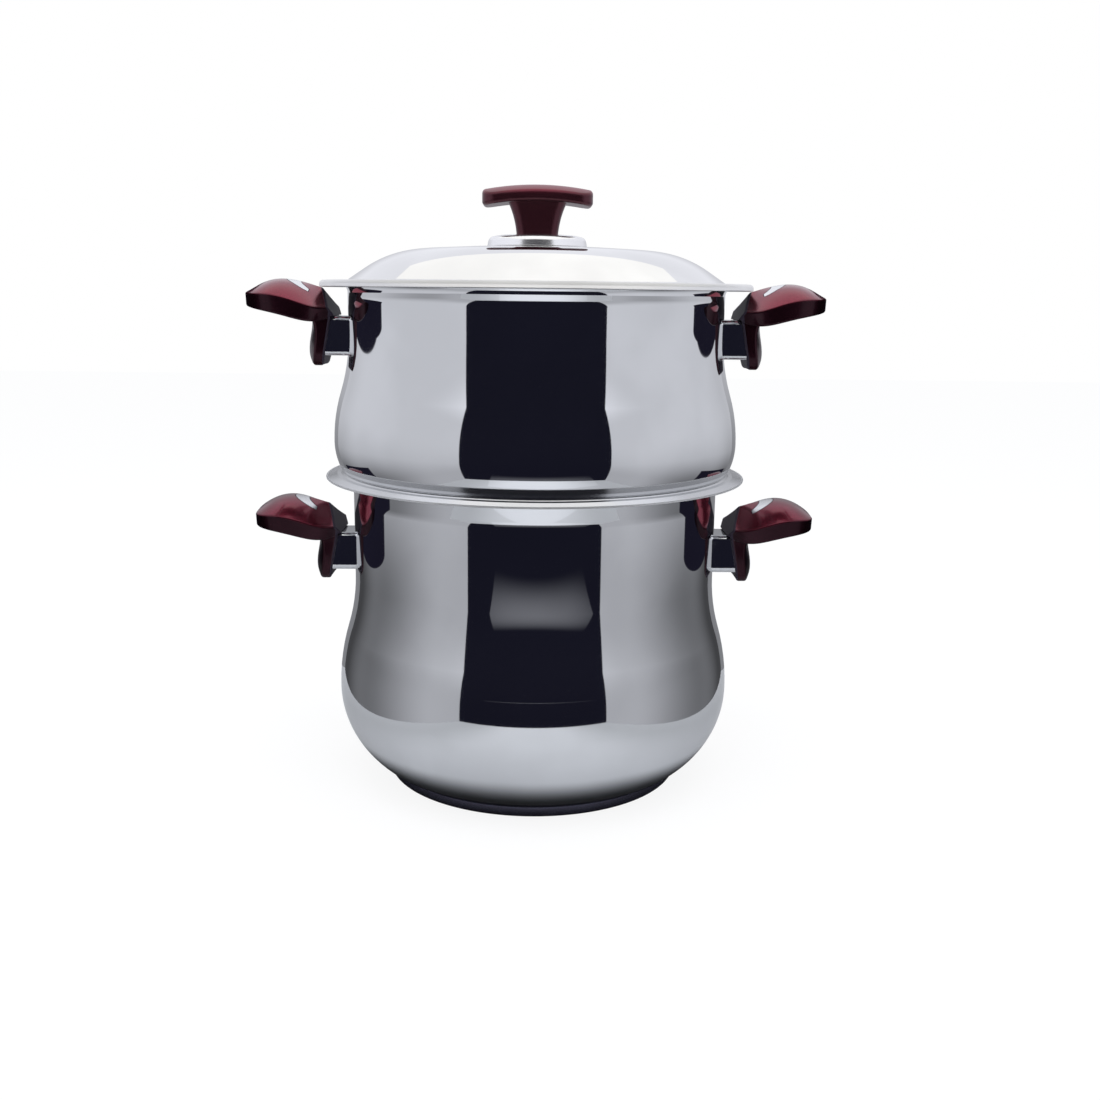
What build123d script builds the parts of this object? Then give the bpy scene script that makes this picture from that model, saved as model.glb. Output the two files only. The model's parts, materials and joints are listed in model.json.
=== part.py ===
from build123d import *
import math
import os

# A two-storey steamer pot: a bellied lower pot, a bellied steamer pan with a pierced bottom that
# stands in its rim, and a domed lid. Millimetres, +Z up. The origin is the centre of the underside
# of the lower pot, and the handles lie along X.

# Driving sizes of the pressed steel
sheet = 0.9                  # thickness of the steel of both pans and the lid
fit_gap = 0.4                # gap between pieces that lift off each other
play = 0.3                   # gap round pieces that are pushed together
overrun = 6.0                # how far a cutting tool reaches past what it cuts

# Capsule base of the lower pot
base_radius = 98.1
base_height = 7.0
base_skin = 0.8
base_corner = 2.0

# Lower pot, on its outer face
neck_radius = 119.7
pot_height = 205.0           # to the top of the rim
pot_swell = 11.2             # how much wider the belly is than the neck
pot_belly_rise = 54.0        # from the pot's bottom up to its widest ring
pot_heel_arc = 8.0
pot_high_arc = 135.0
pot_neck_arc = 121.0

# Rims of both pans: the sheet turns over outwards and slopes down to its edge
rim_bend = 5.3
rim_slope = 12.0             # degrees
rim_reach = 17.4             # from the pot's neck out to the edge of either rim

# Steamer pan, on its outer face
steamer_neck_step = 1.3      # how much wider its neck is than the pot's
steamer_rise = 119.7         # from its seat on the pot's rim up to the top of its own rim
steamer_skirt = 6.0          # straight part that goes down into the pot's mouth
steamer_corner = 4.0
steamer_swell = 10.4
steamer_belly_rise = 19.6    # from the seat up to the widest ring
steamer_seat_flat = 0.3
steamer_seat_bend = 1.6
steamer_high_arc = 105.0
steamer_neck_arc = 120.0

# Steam holes
hole_radius = 3.0
hole_pitch = 17.0
hole_margin = 6.0            # left free inside the corner of the pierced bottom

# Lid, on its upper face
lid_foot_step = 1.4          # from the steamer's neck out to where the dome meets the flat ring
lid_band = 47.2              # width of the sloping band, from the crown to the flat ring
lid_crown_turn = 4.0         # degrees
lid_shoulder_arc = 70.0
lid_slope = 34.0             # degrees
lid_foot_arc = 3.0
lid_edge_gap = 0.5
lid_edge_bend = 2.5
lid_edge_drop = 1.6

# Rosette under the knob
rosette_flat = 21.0          # radius of its flat top
rosette_height = 6.9
rosette_sheet = 0.8
rosette_brow_arc = 30.0
rosette_brow_turn = 15.0     # degrees
rosette_corner = 3.6
rosette_corner_turn = 63.0   # degrees

# Knob
knob_length = 70.0
knob_depth = 34.0
knob_height = 31.4           # from the rosette's top to the crown of the knob
knob_crown_drop = 3.4        # the crown falls by this much towards each end
knob_brow_drop = 4.3         # and by this much towards the front and the back
knob_face = 6.4              # height of the front and back faces
knob_corner = 9.0
knob_edge = 2.4
knob_waist_length = 26.4
knob_waist_depth = 20.0
knob_flare_length = 40.0
knob_flare_depth = 29.0
knob_waist_corner = 6.0
knob_middle_share = 0.47     # how high the stem's middle section sits
knob_middle_flare_share = 0.28
spigot_radius = 6.5

# Knob fixing
insert_radius = 4.5
insert_length = 14.0
knob_screw_radius = 2.9
knob_screw_head_radius = 5.5
knob_screw_head = 3.4
knob_washer_radius = 7.5
washer_thickness = 1.0
head_chamfer = 0.8           # on the heads of all the screws

# Handle stems: heights of their centres under each rim, and the steel sleeve round each
pot_handle_drop = 54.3
steamer_handle_drop = 33.6
stem_width = 30.0
stem_height = 25.0
stem_corner = 3.5
sleeve_sheet = 0.8

# Grip, on the centre line: it leans on the stem with a web and reaches out with a paddle
grip_reach = 62.5            # from the pan's neck out to the tip
grip_crown = 35.6            # from the stem's centre up to the crown
grip_half_width = 29.0
grip_foot = 7.8              # from the neck to the lower edge of the paddle's inner face
grip_lean = 28.0             # degrees, of the paddle's inner face
grip_gap = 0.3               # between the paddle's lower edge and the sleeve
web_near = 12.4              # from the neck to the web's inner face, at the stem's centre
web_lean = 10.7              # degrees
web_edge = 7.0               # thickness at its sides
web_middle = 12.8            # and on its centre line
web_half_width = 17.0
web_below = 19.0             # how far it hangs under the stem's centre
web_bite = 3.0               # how far it runs up into the paddle
web_round = 2.0              # along its sides
web_foot_round = 3.0
grip_tip_round = 8.0
grip_crease = 1.0            # rounding between the paddle's sides and its top
grip_lip = 2.0               # between its inner face and its top
grip_under_edge = 1.6

# The paddle's sections, the first at its inner end: out along the reach, half width at the crease
# and at the underside, heights of underside, crease and crown, and how round each half of the top
# is: one draws a single arc across, zero a straight gable and less a hollow
grip_reach_shares = [0.384, 0.61, 0.83, 1.0]
grip_width_shares = [0.83, 0.95, 1.0, 0.99, 0.84]
grip_foot_width_shares = [0.55, 0.86, 0.94, 0.93, 0.78]
grip_under_shares = [0.26, 0.35, 0.44, 0.525]
grip_crease_shares = [0.51, 0.548, 0.674, 0.727, 0.737]
grip_crown_shares = [0.86, 0.904, 0.993, 0.96, 0.79]
grip_round_shares = [-0.25, 0.35, 1.0, 1.0, 1.0]
grip_fillet_share = 0.3      # the edges further out than this along the reach are rounded

# The web's sections from its foot up into the paddle: height, half width and thicknesses
web_height_shares = [0.0, 0.14, 0.42, 0.72, 1.0]
web_width_shares = [0.62, 0.86, 1.0, 1.04, 1.1]
web_edge_shares = [1.05, 0.95, 1.0, 1.3, 2.3]
web_middle_shares = [0.55, 0.84, 1.0, 1.0, 1.12]

# Crescent inlay
inlay_tip = 39.8             # from the neck out to its outer edge, on the centre line
inlay_inner = 31.0
inlay_horn = 24.5
inlay_half_width = 13.0
inlay_horn_width = 3.2
inlay_depth = 1.6
inlay_groove = 0.35

# Fixing of each grip
foot_sheet = 1.5
boss_radius = 5.0
boss_reach = 15.4            # from the neck out to the boss's end, in the web
screw_radius = 2.4
screw_head_radius = 4.6
screw_head = 2.6
screw_thread = 9.0           # how deep the screw goes into the boss
clamp_wall = 2.6             # web left between the boss and the washer
grip_washer_radius = 5.0

# Worked out from the sizes above
mouth_radius = neck_radius - sheet
skirt_radius = mouth_radius - fit_gap
steamer_neck_radius = neck_radius + steamer_neck_step
rim_radius = neck_radius + rim_reach
seat_z = pot_height + fit_gap
steamer_top = seat_z + steamer_rise
seat_bend = rim_bend + sheet + fit_gap
steamer_bottom = seat_z - seat_bend - steamer_skirt - steamer_corner
lid_ring_z = steamer_top + fit_gap + sheet


def run(start, heading, moves, offset=0.0):
    """Edges in the XZ plane that follow straight lines and tangent arcs from a start point.

    A move is (length,) for a line or (radius, turn) for an arc, left turns positive. The offset
    shifts the whole run to its left, and every arc keeps its centre.
    """
    x, z = start
    edges = []
    for move in moves:
        angle = math.radians(heading)
        left = (-math.sin(angle), math.cos(angle))
        begin = (x + offset * left[0], 0, z + offset * left[1])
        if len(move) == 1:
            step = move[0]
            x += step * math.cos(angle)
            z += step * math.sin(angle)
            edges.append(Line(begin, (x + offset * left[0], 0, z + offset * left[1])))
        else:
            radius, turn = move
            side = math.copysign(1, turn)
            centre = (x + side * radius * left[0], z + side * radius * left[1])
            points = []
            for share in (0.5, 1.0):
                out = angle + math.radians(turn) * share - side * math.pi / 2
                points.append((centre[0] + (radius - side * offset) * math.cos(out), 0,
                               centre[1] + (radius - side * offset) * math.sin(out)))
                x = centre[0] + radius * math.cos(out)
                z = centre[1] + radius * math.sin(out)
            edges.append(ThreePointArc(begin, points[0], points[1]))
            heading += turn
    return edges


def pressed(start, heading, moves, offset):
    """Sheet of even thickness, turned about Z from the face that a run draws."""
    face_side = run(start, heading, moves)
    back_side = run(start, heading, moves, offset)
    near_cap = Line(face_side[0] @ 0, back_side[0] @ 0)
    far_cap = Line(face_side[-1] @ 1, back_side[-1] @ 1)
    return revolve(make_face([near_cap, *face_side, far_cap, *back_side]), Axis.Z)


def filled(start, heading, moves):
    """The same turned shape, solid to its axis."""
    face_side = run(start, heading, moves)
    rim = face_side[-1] @ 1
    top = Line(rim, (0, 0, rim.Z))
    axis = Line((0, 0, rim.Z), face_side[0] @ 0)
    return revolve(make_face([*face_side, top, axis]), Axis.Z)


def belly(gap, rise, bend):
    """Low arc and its two turns, from a flat bottom to the widest ring, by way of a small bend.

    Gap is how far the widest ring stands out past the end of the flat.
    """
    climb = rise - bend
    low_arc = (gap * gap + climb * climb - bend * bend) / (2 * (gap - bend))
    low_turn = math.degrees(math.asin(climb / (low_arc - bend)))
    return [(bend, 90 - low_turn), (low_arc, low_turn)]


def shoulder(swell, high_arc, neck_arc):
    """Inward arc over the belly and the arc back into the upright neck, and how far they climb."""
    turn = math.degrees(math.acos(1 - swell / (high_arc + neck_arc)))
    climb = (high_arc + neck_arc) * math.sin(math.radians(turn))
    return [(high_arc, turn), (neck_arc, -turn)], climb


def rim(reach):
    """The sheet turned outwards over the neck's top, sloping down to its edge."""
    slope = math.radians(rim_slope)
    flat = (reach - rim_bend * (1 + math.sin(slope))) / math.cos(slope)
    return [(rim_bend, -90 - rim_slope), (flat,)]


def pot_moves():
    """Outer face of the lower pot, from the middle of its bottom out and up to its rim's edge."""
    flat = base_radius - base_skin
    shoulders, climb = shoulder(pot_swell, pot_high_arc, pot_neck_arc)
    neck = pot_height - sheet - rim_bend - base_height - pot_belly_rise - climb
    low = belly(neck_radius + pot_swell - flat, pot_belly_rise, pot_heel_arc)
    return [(flat,), *low, *shoulders, (neck,), *rim(rim_reach)]


def steamer_moves():
    """Outer face of the steamer pan: bottom, skirt, seat over the pot's rim, belly, neck, rim."""
    shoulders, climb = shoulder(steamer_swell, steamer_high_arc, steamer_neck_arc)
    neck = steamer_rise - sheet - rim_bend - steamer_belly_rise - climb
    seat_radius = neck_radius + rim_bend + steamer_seat_flat
    gap = steamer_neck_radius + steamer_swell - seat_radius
    low = belly(gap, steamer_belly_rise, steamer_seat_bend)
    into_mouth = [(skirt_radius - steamer_corner,), (steamer_corner, 90), (steamer_skirt,)]
    seat = [(seat_bend, -90), (steamer_seat_flat,)]
    return [*into_mouth, *seat, *low, *shoulders, (neck,), *rim(rim_reach - steamer_neck_step)]


def lid_moves():
    """Upper face of the lid from its centre outwards, and how high the centre is over the ring."""
    crown_radius = steamer_neck_radius + lid_foot_step - lid_band
    crown_arc = crown_radius / math.sin(math.radians(lid_crown_turn))
    slope = math.radians(lid_slope)
    crown_angle = math.radians(lid_crown_turn)
    shoulder_width = lid_shoulder_arc * (math.sin(slope) - math.sin(crown_angle))
    band = (lid_band - shoulder_width - lid_foot_arc * math.sin(slope)) / math.cos(slope)
    drop = (crown_arc * (1 - math.cos(crown_angle))
            + lid_shoulder_arc * (math.cos(crown_angle) - math.cos(slope))
            + band * math.sin(slope) + lid_foot_arc * (1 - math.cos(slope)))
    edge_radius = rim_radius + lid_edge_gap + sheet
    ring = edge_radius - lid_edge_bend - steamer_neck_radius - lid_foot_step
    moves = [(crown_arc, -lid_crown_turn), (lid_shoulder_arc, lid_crown_turn - lid_slope), (band,),
             (lid_foot_arc, lid_slope), (ring,), (lid_edge_bend, -90), (lid_edge_drop,)]
    return moves, drop, crown_arc


def make_pot():
    """Lower pot's pressed body, its aluminium core and the steel cap that holds the core."""
    body = pressed((0, base_height), 0, pot_moves(), sheet)
    cap_moves = [(base_radius - base_corner,), (base_corner, 90), (base_height - base_corner,)]
    cap = pressed((0, 0), 0, cap_moves, base_skin)
    core_corner = base_corner - base_skin
    core_radius = base_radius - base_skin
    core_moves = [(core_radius - core_corner,), (core_corner, 90),
                  (base_height - base_skin - core_corner,)]
    core = filled((0, base_skin), 0, core_moves)
    return body, core, cap


def make_steamer():
    """Steamer pan with rings of steam holes through its bottom."""
    body = pressed((0, steamer_bottom), 0, steamer_moves(), sheet)
    flat = skirt_radius - steamer_corner - hole_margin - hole_radius
    holes = Sketch() + Circle(hole_radius)
    for ring in range(1, int(flat / hole_pitch) + 1):
        holes += PolarLocations(ring * hole_pitch, 6 * ring) * Circle(hole_radius)
    cutter = extrude(Plane.XY.offset(steamer_bottom - overrun) * holes, sheet + 2 * overrun)
    return body - cutter


def make_lid():
    """Domed lid with the hole for its knob's screw, and the height of its centre."""
    moves, drop, crown_arc = lid_moves()
    top = lid_ring_z + drop
    shell = pressed((0, top), 0, moves, -sheet)
    hole = Pos(0, 0, top) * Cylinder(knob_screw_radius + play, 2 * overrun)
    return shell - hole, top, crown_arc


def make_rosette(lid_top, crown_arc):
    """Polished dish between the lid and the knob, from its flat top down onto the lid's crown."""
    start = spigot_radius + play
    brow = math.radians(rosette_brow_turn)
    skirt_angle = math.radians(rosette_brow_turn + rosette_corner_turn)
    drop = (rosette_brow_arc * (1 - math.cos(brow))
            + rosette_corner * (math.cos(brow) - math.cos(skirt_angle)))
    foot = rosette_flat + rosette_brow_arc * math.sin(brow)
    fall = rosette_height + crown_fall(foot, crown_arc) - drop
    skirt = (fall - rosette_sheet * math.cos(skirt_angle)) / math.sin(skirt_angle)
    moves = [(rosette_flat - start,), (rosette_brow_arc, -rosette_brow_turn),
             (rosette_corner, -rosette_corner_turn), (skirt,)]
    return pressed((start, lid_top + rosette_height), 0, moves, -rosette_sheet)


def crown_fall(radius, crown_arc):
    """How far the lid's crown has fallen at a distance from its centre."""
    return crown_arc - math.sqrt(crown_arc ** 2 - radius ** 2)


def make_knob(lid_top):
    """T-shaped knob: a crowned bar on a flaring stem, with a spigot through the rosette."""
    base = lid_top + rosette_height
    crown = base + knob_height
    half_depth = knob_depth / 2
    brow = crown - knob_brow_drop
    under = brow - knob_face
    outline = [
        ThreePointArc((0, -half_depth, brow), (0, 0, crown), (0, half_depth, brow)),
        Line((0, half_depth, brow), (0, half_depth, under)),
        Line((0, half_depth, under), (0, -half_depth, under)),
        Line((0, -half_depth, under), (0, -half_depth, brow)),
    ]
    half_length = knob_length / 2
    crown_arc = (half_length ** 2 + knob_crown_drop ** 2) / (2 * knob_crown_drop)
    half_turn = math.degrees(math.asin((half_length + overrun) / crown_arc))
    hub = Axis((0, 0, crown - crown_arc), (0, 1, 0))
    section = make_face(outline).rotate(hub, -half_turn)
    bar = revolve(section, hub, 2 * half_turn)
    plan = Plane.XY.offset(under - overrun) * RectangleRounded(knob_length, knob_depth, knob_corner)
    bar = bar & extrude(plan, crown - under + 2 * overrun)
    long_edges = bar.edges().filter_by(lambda edge: edge.length > knob_depth)
    bar = fillet(long_edges, knob_edge)
    stem_top = under + knob_edge
    middle = base + knob_middle_share * (stem_top - base)
    grow_length = knob_flare_length - knob_waist_length
    grow_depth = knob_flare_depth - knob_waist_depth
    waist = Plane.XY.offset(base) * RectangleRounded(
        knob_waist_length, knob_waist_depth, knob_waist_corner)
    belt = Plane.XY.offset(middle) * RectangleRounded(
        knob_waist_length + knob_middle_flare_share * grow_length,
        knob_waist_depth + knob_middle_flare_share * grow_depth, knob_waist_corner)
    flare = Plane.XY.offset(stem_top) * RectangleRounded(
        knob_flare_length, knob_flare_depth, knob_waist_corner)
    stem = loft([waist, belt, flare])
    spigot_height = rosette_height + overrun
    spigot = Pos(0, 0, lid_top + spigot_height / 2) * Cylinder(spigot_radius, spigot_height)
    bore_height = insert_length + knob_screw_radius
    bore = Pos(0, 0, lid_top + insert_length / 2) * Cylinder(insert_radius, insert_length)
    tip_room = Pos(0, 0, lid_top + bore_height / 2) * Cylinder(knob_screw_radius + play, bore_height)
    return bar + stem + spigot - bore - tip_room


def make_knob_fixing(lid_top, crown_arc):
    """Brass insert in the knob, and the screw and washer that hold it from inside the lid."""
    under = lid_top - sheet - crown_fall(knob_washer_radius, crown_arc - sheet)
    insert = Pos(0, 0, lid_top + insert_length / 2) * Cylinder(insert_radius, insert_length)
    insert -= Pos(0, 0, lid_top + insert_length / 2) * Cylinder(
        knob_screw_radius, insert_length + overrun)
    washer_z = under - washer_thickness / 2
    washer = Pos(0, 0, washer_z) * Cylinder(knob_washer_radius, washer_thickness)
    washer -= Pos(0, 0, washer_z) * Cylinder(knob_screw_radius + play, washer_thickness + overrun)
    head_z = under - washer_thickness - knob_screw_head / 2
    head = Pos(0, 0, head_z) * Cylinder(knob_screw_head_radius, knob_screw_head)
    head = chamfer(head.edges().sort_by(Axis.Z)[0], head_chamfer)
    shank_length = washer_thickness + lid_top - under + insert_length
    shank = Pos(0, 0, under - washer_thickness + shank_length / 2) * Cylinder(
        knob_screw_radius, shank_length)
    return insert, head + shank, washer


def paddle_section(reach, width, foot_width, under, crease, crown, roundness, lean):
    """One section of the paddle: flat underside, spreading sides and a crowned or hollowed top."""
    slant = math.tan(math.radians(lean))

    def place(side, height):
        return (reach + slant * (height - under), side, height)

    half = grip_half_width * width
    foot = grip_half_width * foot_width
    rise = crown - crease
    arc = (half ** 2 + rise ** 2) / (2 * rise)
    gable = crease + rise / 2
    arc_height = crown - arc + math.sqrt(arc ** 2 - half ** 2 / 4)
    middle = gable + roundness * (arc_height - gable)
    peak = place(0, crown)
    return make_face([
        Line(place(-foot, under), place(foot, under)),
        Line(place(foot, under), place(half, crease)),
        ThreePointArc(place(half, crease), place(half / 2, middle), peak),
        ThreePointArc(peak, place(-half / 2, middle), place(-half, crease)),
        Line(place(-half, crease), place(-foot, under))])


def climb(edge):
    """How far an edge climbs from its lowest point to its highest."""
    return edge.bounding_box().size.Z


def make_paddle():
    """The grip's paddle, lofted through its five sections, with its tip and edges rounded."""
    rests_on = stem_height / 2 + grip_gap
    reaches = [grip_foot] + [grip_reach * share for share in grip_reach_shares]
    unders = [rests_on] + [grip_crown * share for share in grip_under_shares]
    creases = [grip_crown * share for share in grip_crease_shares]
    crowns = [grip_crown * share for share in grip_crown_shares]
    leans = [grip_lean] + [0] * len(grip_reach_shares)
    rows = zip(reaches, grip_width_shares, grip_foot_width_shares, unders, creases, crowns,
               grip_round_shares, leans)
    paddle = loft([paddle_section(*row) for row in rows])
    tip_corners = paddle.faces().sort_by(Axis.X)[-1].edges().sort_by(climb)[-2:]
    paddle = fillet(tip_corners, grip_tip_round)
    rounded_from = grip_reach * grip_fillet_share
    underside = paddle.faces().sort_by(Axis.Z)[0].edges()
    paddle = fillet(underside.filter_by(lambda edge: edge.center().X > rounded_from), grip_under_edge)
    lip = paddle.faces().sort_by(Axis.X)[0].edges().sort_by(Axis.Z)[-2:]
    paddle = fillet(lip, grip_lip)
    tip_top = paddle.faces().sort_by(Axis.X)[-1].edges().sort_by(Axis.Z)[-2:]
    return fillet(tip_top, grip_crease)


def web_section(height, width, edge, middle):
    """One level section of the web: flat towards the pan, bulged on its outer side."""
    near = web_near - math.tan(math.radians(web_lean)) * height
    left_near = (near, -web_half_width * width, height)
    right_near = (near, web_half_width * width, height)
    left_far = (near + web_edge * edge, -web_half_width * width, height)
    right_far = (near + web_edge * edge, web_half_width * width, height)
    return make_face([
        Line(left_near, right_near), Line(right_near, right_far),
        ThreePointArc(right_far, (near + web_middle * middle, 0, height), left_far),
        Line(left_far, left_near)])


def make_web():
    """The leaning web that carries the paddle on the stem and flares out under it."""
    under = stem_height / 2 + grip_gap
    rise = web_below + under + web_bite
    heights = [share * rise - web_below for share in web_height_shares]
    rows = zip(heights, web_width_shares, web_edge_shares, web_middle_shares)
    web = loft([web_section(*row) for row in rows])
    uprights = web.edges().sort_by(climb)[-4:]
    web = fillet(uprights, web_round)
    return fillet(web.faces().sort_by(Axis.Z)[0].edges(), web_foot_round)


def crescent(grow):
    """Plan of the crescent inlay, convex towards the grip's tip, grown by a gap all round."""
    back = inlay_half_width - inlay_horn_width
    left_out = (inlay_horn, -inlay_half_width)
    right_out = (inlay_horn, inlay_half_width)
    left_in = (inlay_horn, -back)
    right_in = (inlay_horn, back)
    outline = make_face([
        ThreePointArc(left_out, (inlay_tip, 0), right_out), Line(right_out, right_in),
        ThreePointArc(right_in, (inlay_inner, 0), left_in), Line(left_in, left_out)])
    if grow > 0:
        outline = offset(outline, grow, kind=Kind.INTERSECTION)
    return extrude(Plane.XY.offset(grip_crown / 2) * outline, grip_crown)


def make_grip():
    """Moulded grip with the crescent's pocket, the boss's socket and the screw's counterbore."""
    paddle = make_paddle()
    inlay = (paddle & crescent(0)) - Pos(0, 0, -inlay_depth) * paddle
    pocket = crescent(inlay_groove) - Pos(0, 0, -inlay_depth) * paddle
    grip = paddle - stem_room(grip_gap, grip_half_width) + make_web()
    clamp = boss_reach + clamp_wall
    socket = along_x(boss_radius + play, -overrun, boss_reach)
    through = along_x(screw_radius + play, boss_reach - overrun, clamp + overrun)
    counterbore = along_x(grip_washer_radius + play, clamp, clamp + web_middle + overrun)
    return grip - socket - through - counterbore - pocket, inlay


def along_x(radius, near, far):
    """Round bar along X at the stem's centre, between two distances from the neck."""
    return extrude(Plane.YZ.offset(near) * Circle(radius), far - near)


def stem_room(gap, half_width):
    """Block between the neck and the web's leaning inner face, from under the stem to its top."""
    slant = math.tan(math.radians(web_lean))
    low = -stem_height / 2 - gap
    high = stem_height / 2 + gap
    profile = make_face(Polyline(
        (-overrun, 0, low), (web_near - slant * low, 0, low),
        (web_near - slant * high, 0, high), (-overrun, 0, high), close=True))
    return extrude(profile, half_width, both=True)


def make_stem_parts():
    """Steel sleeve, welded bracket with its threaded boss, screw and washer of one handle."""
    block = stem_room(overrun, stem_width)
    ring = RectangleRounded(stem_width, stem_height, stem_corner)
    inner_width = stem_width - 2 * sleeve_sheet
    inner_height = stem_height - 2 * sleeve_sheet
    ring -= RectangleRounded(inner_width, inner_height, stem_corner - sleeve_sheet)
    start = Plane.YZ.offset(-overrun)
    sleeve = extrude(start * ring, grip_reach) & block
    foot = extrude(start * RectangleRounded(
        inner_width - 2 * play, inner_height - 2 * play, stem_corner - sleeve_sheet - play),
        overrun + foot_sheet)
    boss = along_x(boss_radius, 0, boss_reach)
    thread = along_x(screw_radius, boss_reach - screw_thread, boss_reach + overrun)
    bracket = foot + boss - thread
    clamp = boss_reach + clamp_wall
    washer = along_x(grip_washer_radius, clamp, clamp + washer_thickness)
    washer -= along_x(screw_radius + play, clamp - overrun, clamp + overrun)
    seat = clamp + washer_thickness
    head = along_x(screw_head_radius, seat, seat + screw_head)
    head = chamfer(head.edges().sort_by(Axis.X)[-1], head_chamfer)
    shank = along_x(screw_radius, boss_reach - screw_thread, seat)
    return sleeve, bracket, head + shank, washer


def add_handles(nodes, pan, stem_z, outside):
    """Two handles of one pan. Sleeves and brackets are cut to the pan's own outer face."""
    grip, inlay = make_grip()
    sleeve, bracket, screw, washer = make_stem_parts()
    for side, angle in (("right", 0), ("left", 180)):
        place = Rot(0, 0, angle) * Pos(neck_radius + pan_steps[pan], 0, stem_z)
        nodes[f"{pan}_{side}_grip"] = place * grip
        nodes[f"{pan}_{side}_inlay"] = place * inlay
        nodes[f"{pan}_{side}_sleeve"] = place * sleeve - outside
        nodes[f"{pan}_{side}_bracket"] = place * bracket - outside
        nodes[f"{pan}_{side}_screw"] = place * screw
        nodes[f"{pan}_{side}_washer"] = place * washer


pan_steps = {"pot": 0, "steamer": steamer_neck_step}
pot_body, base_core, base_cap = make_pot()
steamer_body = make_steamer()
lid_shell, lid_top, lid_crown_arc = make_lid()
lid_rosette = make_rosette(lid_top, lid_crown_arc)
lid_knob = make_knob(lid_top)
knob_insert, knob_screw, knob_washer = make_knob_fixing(lid_top, lid_crown_arc)

nodes = {
    "pot_body": pot_body,
    "pot_base_core": base_core,
    "pot_base_cap": base_cap,
    "steamer_body": steamer_body,
    "lid_shell": lid_shell,
    "lid_rosette": lid_rosette,
    "lid_knob": lid_knob,
    "knob_insert": knob_insert,
    "knob_screw": knob_screw,
    "knob_washer": knob_washer,
}
add_handles(nodes, "pot", pot_height - pot_handle_drop, filled((0, base_height), 0, pot_moves()))
add_handles(nodes, "steamer", steamer_top - steamer_handle_drop,
            filled((0, steamer_bottom), 0, steamer_moves()))

os.makedirs("parts", exist_ok=True)
for name, solid in nodes.items():
    export_step(solid, f"parts/{name}.step")
    print(name, round(solid.volume), "mm3")
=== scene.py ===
# %% [markdown]
# # A two-storey steamer pot in polished steel
# This lesson dresses a packed CAD model. The CAD gives every piece its place and size, and Blender
# gives the steel its mirror, the grips their burgundy lacquer, and the studio around them.
# The whole scene is in metres, in the same frame as the CAD: +Z is up, the origin is the centre of
# the pot's underside, and the handles lie along X.

# %% Load the frame
import json
import math
import bpy
import numpy as np
from mathutils import Matrix, Vector
from mathutils.geometry import delaunay_2d_cdt


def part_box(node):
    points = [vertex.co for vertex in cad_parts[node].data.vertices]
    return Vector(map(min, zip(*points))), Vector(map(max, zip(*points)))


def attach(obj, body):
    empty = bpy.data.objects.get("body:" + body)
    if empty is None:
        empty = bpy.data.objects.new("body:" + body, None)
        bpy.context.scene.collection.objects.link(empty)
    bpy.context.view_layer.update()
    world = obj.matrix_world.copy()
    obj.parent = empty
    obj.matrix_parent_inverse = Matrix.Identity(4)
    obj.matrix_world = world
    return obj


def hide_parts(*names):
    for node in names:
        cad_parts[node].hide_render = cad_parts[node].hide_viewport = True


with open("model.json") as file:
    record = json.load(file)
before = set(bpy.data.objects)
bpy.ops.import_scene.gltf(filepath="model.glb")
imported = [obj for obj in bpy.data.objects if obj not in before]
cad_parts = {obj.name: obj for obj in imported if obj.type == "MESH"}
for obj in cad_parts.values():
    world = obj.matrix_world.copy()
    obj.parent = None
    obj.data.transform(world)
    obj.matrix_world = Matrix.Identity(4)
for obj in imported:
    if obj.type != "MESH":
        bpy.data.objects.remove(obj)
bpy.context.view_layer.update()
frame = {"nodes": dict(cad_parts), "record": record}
nodes = frame["nodes"]

# %% [markdown]
# ## Turned steel
# Both pans, the lid, the rosette and the base are pressed and spun from sheet, so each is one profile
# turned about Z. A polished surface shows every facet of its mesh as a kink in the reflections.
# The CAD mesh is made of flat triangles, so these pieces are worked out again here as dense grids,
# with the exact normal of the profile stored at every vertex. The profile is a run of straight lines
# and tangent arcs, the way the press tools are drawn.

# %% Points along a run of lines and arcs
ARC_STEP = math.radians(3.0)
LINE_STEP = 0.004
EDGE_POINTS = 9
SAME_SPOT = 1e-7


def trace(start, heading, moves):
    """Points and headings along straight lines and tangent arcs.

    A move (length,) goes straight on: p = p0 + s * (cos h, sin h), with s from 0 to the length.
    A move (radius, turn) keeps its centre c to one side: p = c + radius * (cos a, sin a), where
    the angle a grows by the turn, and the heading h grows with it. Turns are in degrees.
    """
    place = np.array(start, float)
    angle = math.radians(heading)
    spots, angles = [], []
    for move in moves:
        if len(move) == 1:
            share = np.linspace(0, 1, max(2, int(move[0] / LINE_STEP) + 2))
            way = np.array([math.cos(angle), math.sin(angle)])
            piece = place + share[:, None] * move[0] * way
            heads = np.full(len(share), angle)
        else:
            radius, turn = move[0], math.radians(move[1])
            side = math.copysign(1, turn)
            share = np.linspace(0, 1, max(4, int(abs(turn) / ARC_STEP) + 2))
            centre = place + side * radius * np.array([-math.sin(angle), math.cos(angle)])
            heads = angle + turn * share
            piece = centre + side * radius * np.stack([np.sin(heads), -np.cos(heads)], 1)
            angle += turn
        place = piece[-1]
        spots.append(piece)
        angles.append(heads)
    return np.concatenate(spots), np.concatenate(angles)


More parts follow.
